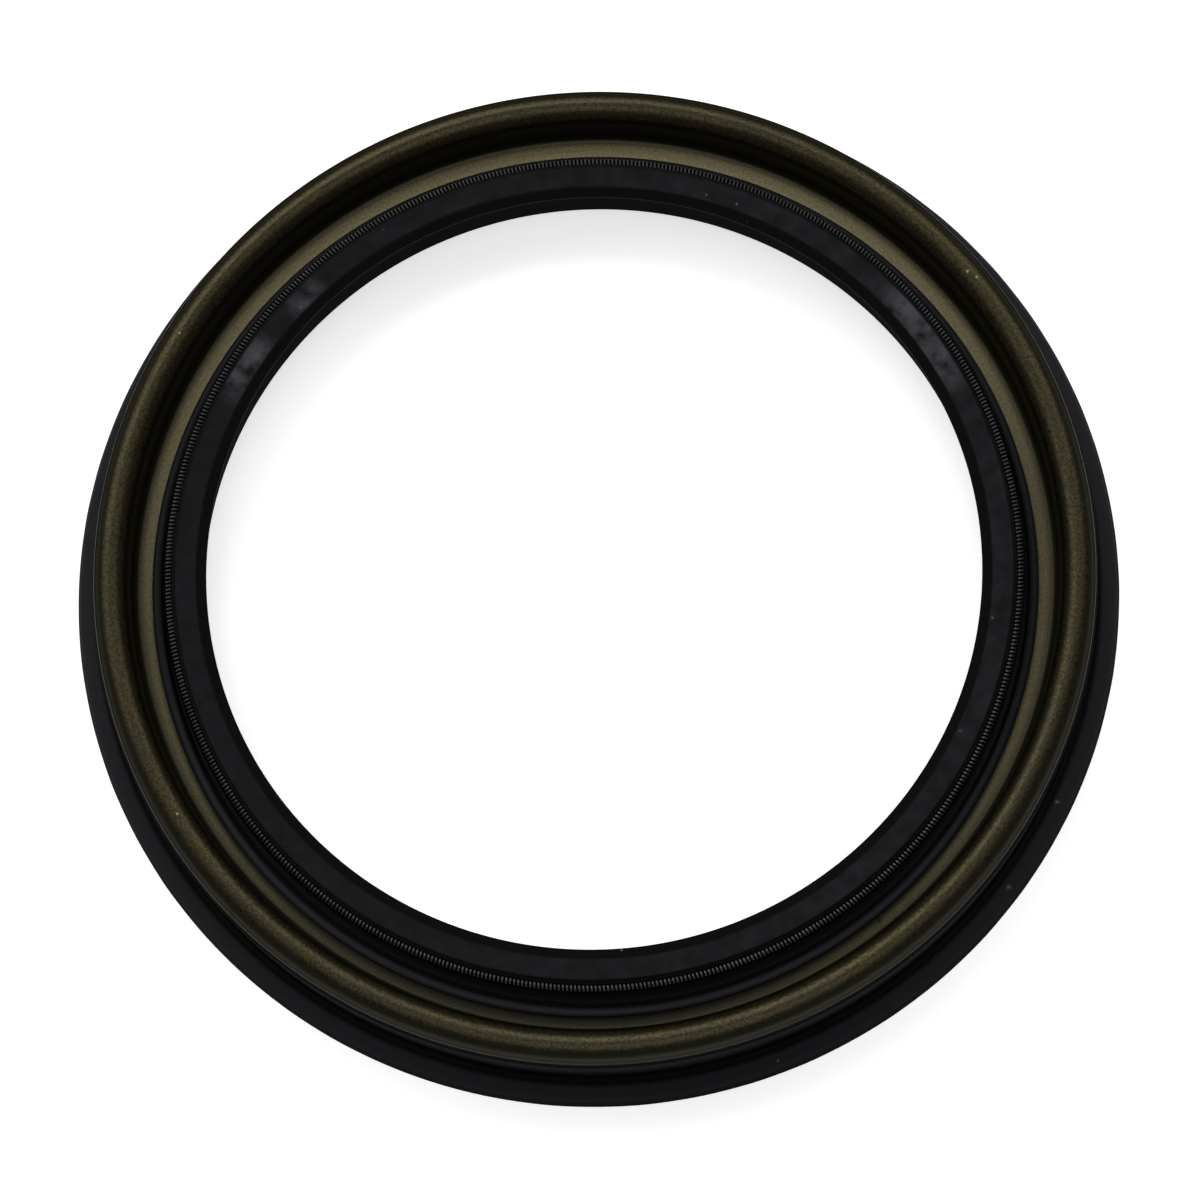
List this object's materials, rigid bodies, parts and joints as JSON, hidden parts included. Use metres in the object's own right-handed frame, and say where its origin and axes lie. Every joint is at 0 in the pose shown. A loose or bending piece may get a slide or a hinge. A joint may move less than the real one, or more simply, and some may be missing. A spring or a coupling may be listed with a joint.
{
  "type": "radial shaft seal",
  "caption": "Radial shaft seal: rubber sealing lip with a garter spring, bonded to a folded steel case with a rubber-covered outside and an outer rubber flange.",
  "frame": {"origin": "on the seal's axis, in the plane of its back face, which is the bottom of the bounding box", "axes": "+Z along the seal's axis, from the back face towards the spring side; X and Y lie in the back face and are free, because the seal is round"},
  "size_m": [0.101, 0.101, 0.01],
  "materials": {
    "coated_steel": "satin, gold-bronze conversion coating",
    "spring_steel": "bright drawn wire",
    "rubber": "moulded, matt"
  },
  "bodies": {
    "root": {"steel_case": "coated_steel", "garter_spring": "spring_steel", "rubber_body": "rubber"}
  },
  "joints": []
}
